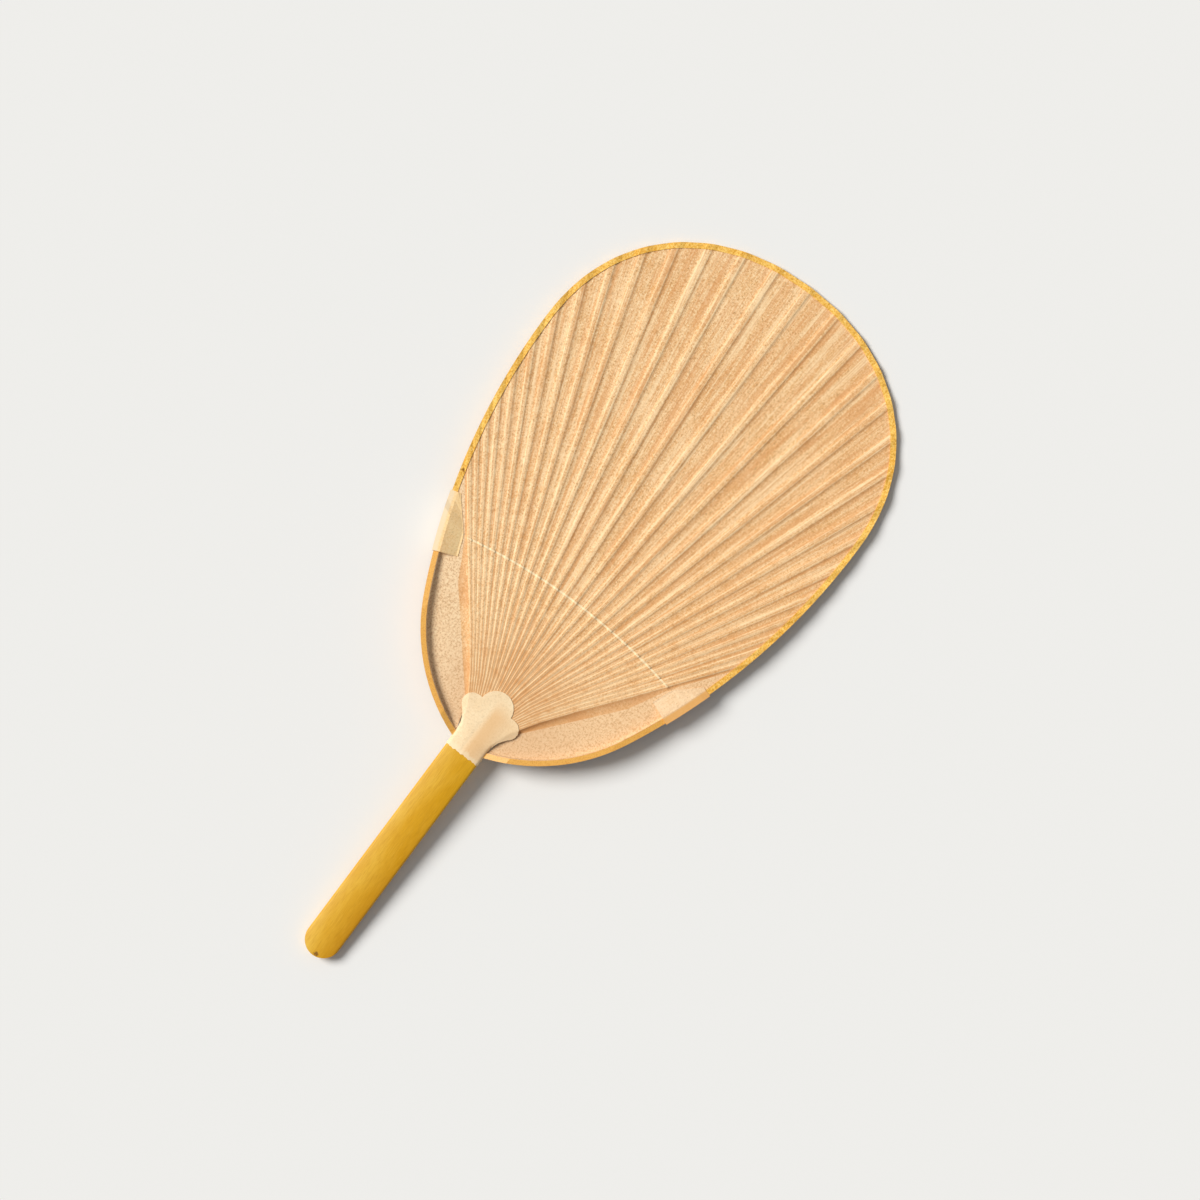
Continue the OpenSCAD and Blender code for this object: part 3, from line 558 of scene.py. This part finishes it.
def piece_of(name, points, faces, finish, paints):
    """An object made from an array of places and an array of quads, with its values for the paint at each
    place. It is smooth, apart from edges of over fifty degrees."""
    data = bpy.data.meshes.new(name)
    data.vertices.add(len(points))
    data.vertices.foreach_set("co", laid(points).astype(np.float32).ravel())
    data.loops.add(faces.size)
    data.loops.foreach_set("vertex_index", faces.astype(np.int32).ravel())
    data.polygons.add(len(faces))
    data.polygons.foreach_set("loop_start", np.arange(0, faces.size, 4, dtype=np.int32))
    data.update(calc_edges=True)
    data.shade_smooth()
    data.set_sharp_from_angle(angle=math.radians(50))
    for paint, values in paints.items():
        held_values = data.attributes.new(paint, "FLOAT", "POINT").data
        held_values.foreach_set("value", values.astype(np.float32).ravel())
    data.materials.append(finish.material)
    made = bpy.data.objects.new(name, data)
    scene.collection.objects.link(made)
    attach(made, "root")
    return made


def paper_piece(name, face, finish):
    """The whole sheet: the fan of ridges as a shell of paper, and the two flaps beside it."""
    grid, rubbed_highlight_and_shade, fan = sheet_grid(face)
    points, faces = shell(grid, paper_t)
    flap = flap_grid(grid[:, -1])
    flap_faces = grid_faces(*flap.shape[:2])
    flap_points = flap.reshape(-1, 3)
    second = len(points)
    third = second + len(flap_points)
    every = np.concatenate([points, flap_points, flap_points * [-1, 1, 1]]) * [1, 1, face]
    all_faces = np.concatenate([faces, second + flap_faces, third + flap_faces[:, ::-1]])
    bare = np.zeros(2 * len(flap_points))
    paints = {"ridge": np.concatenate([rubbed_highlight_and_shade.ravel(), rubbed_highlight_and_shade.ravel(), bare]),
              "flap": np.repeat([0.0, 1.0], [second, 2 * len(flap_points)]),
              "fan": np.concatenate([fan.ravel(), fan.ravel(), bare])}
    made = piece_of(name, every, all_faces[:, ::face], finish, paints)
    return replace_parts(made, name.replace("sheet", "paper"))


# The paper is dyed tan, deeper in the root of the fan and paler on the dusty flaps, and the dye was brushed
# on along the ribs. It is rubbed light on the ridges and over the thread, and the ridges also have a painted
# highlight. The brown beside the ridges is painted shade, deeper on their right sides, away from the lamp.
def paper_finish(name, dark, middle, light, grain=1.0):
    """Clouds of two tones with brown and light specks, and light fibres where a stretched noise crosses its
    middle value."""
    paper = Finish(name, 0.8)
    cloud = paper.noise(paper.place, 60, 4.0, 0.6)
    fibres = None
    for turn in (0.5, 1.9, 2.8):
        hairs = paper.noise(paper.stretched((1, 0.2, 1), turn), 620, 2.0, 0.5)
        band = paper.ramp(paper.maths("ABSOLUTE", paper.maths("SUBTRACT", hairs, 0.5)), 0.025, 0.0)
        fibres = band if fibres is None else paper.maths("MAXIMUM", fibres, band)
    paper.specks = paper.noise(paper.place, 1050, 4.0, 0.75)
    brown = (*(0.52 * v for v in dark[:3]), 1.0)
    tone = paper.mixed(paper.ramp(cloud, 0.32, 0.68), dark, middle)
    tone = paper.tinted(tone, brown, paper.ramp(paper.specks, 0.5, 0.66), 0.8 * grain)
    tone = paper.tinted(tone, light, paper.ramp(paper.specks, 0.5, 0.36), 0.7 * grain)
    paper.tone = paper.tinted(tone, light, fibres, 0.35 * grain)
    paper.bump(paper.maths("ADD", paper.specks, paper.times(fibres, 0.4)), 0.00007, 0.7)
    return paper


def distance_from(finish, x, y):
    """Distance over the table, in metres, from a place given in the blade's millimetres."""
    place = laid([x, y, 0])
    return finish.distance_to(place[0], place[1])


def brushed(finish, across, along):
    """Streaks along the ribs: a noise with so many changes to a rib, and so many to a metre along the fan."""
    place = {"X": finish.times(finish.attribute("fan"), across), "Y": finish.times(finish.along("Y"), along)}
    return finish.noise(finish.node("ShaderNodeCombineXYZ", place).outputs["Vector"], 1.0, 3.0, 0.6)


sheet = paper_finish("tan_paper", colour(230, 174, 108), colour(249, 202, 146), colour(255, 229, 184), 1.15)
on_flap = sheet.attribute("flap")
on_fan = sheet.maths("SUBTRACT", 1.0, on_flap)
root_near = sheet.ramp(distance_from(sheet, 2, 30), 0.045, 0.012)
right_part = sheet.ramp(sheet.along("X"), -0.03, 0.05)
dust = sheet.times(sheet.ramp(sheet.specks, 0.5, 0.62), on_flap)
broad = brushed(sheet, 5, 14)
broad_brown = sheet.times(sheet.ramp(broad, 0.5, 0.64), on_fan)
broad_pale = sheet.times(sheet.ramp(broad, 0.48, 0.36), on_fan)
fine_brown = sheet.times(sheet.ramp(brushed(sheet, 22, 40), 0.5, 0.62), on_fan)
ridge = sheet.attribute("ridge")
patchy = sheet.noise(sheet.place, 240, 3.0)
# Painted shade beside the ridges, deeper on their right sides, which face away from the lamp.
painted_ridge_shade = sheet.times(sheet.ramp(ridge, 0.0, -1.0), sheet.ramp(patchy, 0.65, 0.35))
# Rubbed light and painted highlight on the ridges.
rubbed_and_highlit = sheet.times(sheet.ramp(ridge, 0.0, 1.0), sheet.ramp(patchy, 0.3, 0.6))
from_arc = sheet.maths("SUBTRACT", distance_from(sheet, 0, thread_y - thread_r), thread_r / 1000)
on_arc = sheet.ramp(sheet.maths("ABSOLUTE", from_arc), 0.0006, 0.0003)
near_ribs = sheet.ramp(sheet.maths("ABSOLUTE", sheet.along("X")), 0.0605, 0.0585)

tan = sheet.tinted(sheet.tone, colour(206, 146, 86), root_near, 0.85)
tan = sheet.tinted(tan, colour(246, 220, 182), on_flap, 0.5)
tan = sheet.tinted(tan, colour(196, 146, 96), dust, 0.55)
tan = sheet.tinted(tan, colour(226, 166, 100), right_part, 0.3)
tan = sheet.tinted(tan, colour(220, 154, 92), broad_brown, 0.55)
tan = sheet.tinted(tan, colour(255, 224, 176), broad_pale, 0.55)
tan = sheet.tinted(tan, colour(210, 144, 84), fine_brown, 0.4675)
tan = sheet.tinted(tan, colour(204, 138, 76), painted_ridge_shade, 0.55)
tan = sheet.tinted(tan, colour(255, 228, 180), rubbed_and_highlit, 0.62)
tan = sheet.tinted(tan, colour(255, 234, 190), sheet.times(on_arc, near_ribs), 0.7)
sheet.join(tan, "Base Color")
paper_piece("front_sheet", 1, sheet)
paper_piece("back_sheet", -1, sheet)

# The binding is a strip of mustard paper, folded over the edge of the blade and pasted down on both faces. It
# runs from one ear over the crown to the other.
edge = paper_finish("mustard_paper", colour(236, 168, 44), colour(248, 190, 78), colour(255, 222, 136))
edge.join(edge.tone, "Base Color")
dress("edge_binding", edge)


# The ears are small papers of the same make, folded over the two ends of the bow. Each has its fold along the
# rim in another tone of painted light: a painted highlight on the left one, whose body is painted a brighter
# orange tan to make up for the shade on its slope, and painted shade on the right one, which is cream, where
# the fold is orange with the bow's colour showing through.
def ear_finish(name, side, fold, fold_w, dark, middle, light):
    ear = paper_finish(name, dark, middle, light, 0.5)
    from_centre = distance_from(ear, side * (half_w - side_r), widest_y)
    from_rim = ear.maths("SUBTRACT", side_r / 1000, from_centre)
    # The fold's tone is painted light: a painted highlight on the left ear and painted shade on the right one.
    on_painted_fold = ear.ramp(from_rim, fold_w + 0.0006, fold_w - 0.0004)
    ear.join(ear.tinted(ear.tone, fold, on_painted_fold, 0.85), "Base Color")
    return ear


# The left ear's body is painted brighter and more orange than the right one's, to make up for the shade on its
# slope.
left_ear = ear_finish("left_ear_paper", -1, colour(246, 222, 184), 0.0016,
                      colour(255, 208, 144), colour(255, 218, 156), colour(255, 236, 196))
right_ear = ear_finish("right_ear_paper", 1, colour(238, 172, 86), 0.0026,
                       colour(232, 192, 144), colour(242, 208, 166), colour(252, 226, 190))
dress("ear_patch_left", left_ear)
dress("ear_patch_right", right_ear)

# The two neck patches are lobed pieces of the palest paper, pasted over the head on both faces. The front one
# is seen close: it follows the round front of the culm over the head, sinks with the ribs, and comes down
# beside the last ones onto the flaps. Its lower edge is frayed, and past its fold, on its right half, it is a
# little browner: partly paste soak and partly painted shade of the dome's right side, away from the lamp.
patch_t = 0.25
patch_low = -2.6
flare_y = np.array([patch_low, 6, 8, 10, 12, 14, 16, 17.2])
flare_half = np.array([9.35, 9.35, 9.5, 9.95, 10.8, 12.1, 13.8, 14.98])
side_lobe = np.array([10.6, 20.0])
side_lobe_r = 5.2
top_lobe_y = 24.6
top_lobe_r = 8.5
front_r = 36.0
worn_r = 1.4
last_rib_y = np.array([9, 18.45, 32.35])
last_rib_x = np.array([8.5, 12.1, 21.1])

pale = paper_finish("pale_paper", colour(242, 210, 164), colour(250, 222, 178), colour(255, 238, 206), 0.35)
low_edge, whole = laid(np.array([[0, patch_low, 3], [0, 2.5, 3]]))[:, 1]
low_part = pale.ramp(pale.along("Y"), whole, low_edge)
frayed = pale.ramp(pale.maths("ADD", low_part, pale.noise(pale.stretched((1, 0.3, 1)), 700)), 1.0, 1.25)
# Browner on the right half of the front patch, past its fold: partly paste soak, partly painted shade of the
# dome's right side.
cream = pale.tinted(pale.tone, colour(236, 188, 130), pale.attribute("soak_and_shade"), 0.75)
cream = pale.tinted(cream, colour(248, 226, 186), frayed, 0.6)
pale.join(cream, "Base Color")
dress("neck_patch_back", pale)


def fade(values, start, length):
    """0 up to start, 1 from start + length on, and a straight rise between."""
    return np.clip((values - start) / length, 0, 1)


def patch_outline(y):
    """Half of the patch's width at height y: straight beside the neck, then flaring, then the side lobe's
    circle and the top lobe's, each from the root of r r - (y - middle)^2. The edge is a little wavy."""
    flare = np.interp(y, flare_y, flare_half)
    side = side_lobe[0] + np.sqrt(np.maximum(side_lobe_r ** 2 - (y - side_lobe[1]) ** 2, 0))
    top = np.sqrt(np.maximum(top_lobe_r ** 2 - (y - top_lobe_y) ** 2, 0.01))
    half = np.where(y < flare_y[-1], flare, np.where(y < side_lobe[1] + side_lobe_r + 0.01, side, top))
    return half + 0.07 * np.sin(3.1 * y) + 0.05 * np.sin(7.7 * y + 1)


def patch_grid():
    """The height on the head is the culm's front, 3.3 - x x / 72, with its worn edges. It blends over the
    head's slope into the height on the ribs, which is theirs with a dome. At share f of the way down beside
    the last rib, 1 - 1.5 f + 0.5 f^3 of their height is left. Also how far each place is past the fold."""
    side_end = side_lobe[1] + side_lobe_r
    rows = [np.linspace(patch_low, 24.9, 56), [side_end, side_end + 0.06], np.linspace(25.5, 33.05, 22)]
    row_y = np.concatenate(rows)
    across = np.sin(np.linspace(-1, 1, 49) * np.pi / 2)
    x = patch_outline(row_y)[:, None] * across
    y = row_y[:, None] + 0 * x
    y[0] += 0.35 * np.sin(2.1 * x[0]) * np.cos(0.7 * x[0]) - 0.1
    wide = np.abs(x)

    worn_run = worn_r + 0.3
    worn = fade(wide, handle_half - worn_r, worn_run)
    on_head = handle_t / 2 + 0.3 - x ** 2 / (2 * front_r) - 0.9 * worn_run * (1 - np.sqrt(1 - worn ** 2))
    f = fade(wide, np.interp(y, last_rib_y, last_rib_x), 8.0)
    dome = 0.65 * (1 - fade(y, 9, 22)) * np.maximum(1 - (x / 10) ** 2, 0)
    on_ribs = flap_z + (half_depth(y) - flap_z) * (1 - 1.5 * f + 0.5 * f ** 3) + paper_t + 0.32 + dome
    blend = fade(y, 4.5, 6)
    blend = blend * blend * (3 - 2 * blend)
    fold = 0.12 * np.exp(-((x + 1.5) / 0.5) ** 2) * (1 - fade(y, 10, 10))
    height = on_head * (1 - blend) + np.maximum(on_ribs, 0) * blend - fold
    past_fold = fade(x, -2, 3) * (1 - 0.5 * fade(x, 4, 6)) * (1 - fade(y, 22, 8))
    return np.stack([x, y, height - patch_t], axis=-1), past_fold


patch_places, past_fold = patch_grid()
patch_points, patch_faces = shell(patch_places, patch_t)
soak_and_shade = {"soak_and_shade": np.tile(past_fold.ravel(), 2)}
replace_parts(piece_of("neck_patch", patch_points, patch_faces, pale, soak_and_shade), "neck_patch_front")

# The thread is undyed cotton, woven over and under the ribs between the sheets. It shows only where it is
# wound round the two ends of the bow.
cotton = Finish("cotton", 0.85)
twist = cotton.noise(cotton.place, 5000, 2.0)
cotton.join(cotton.mixed(twist, colour(236, 226, 200), colour(252, 246, 230)), "Base Color")
dress("thread", cotton)
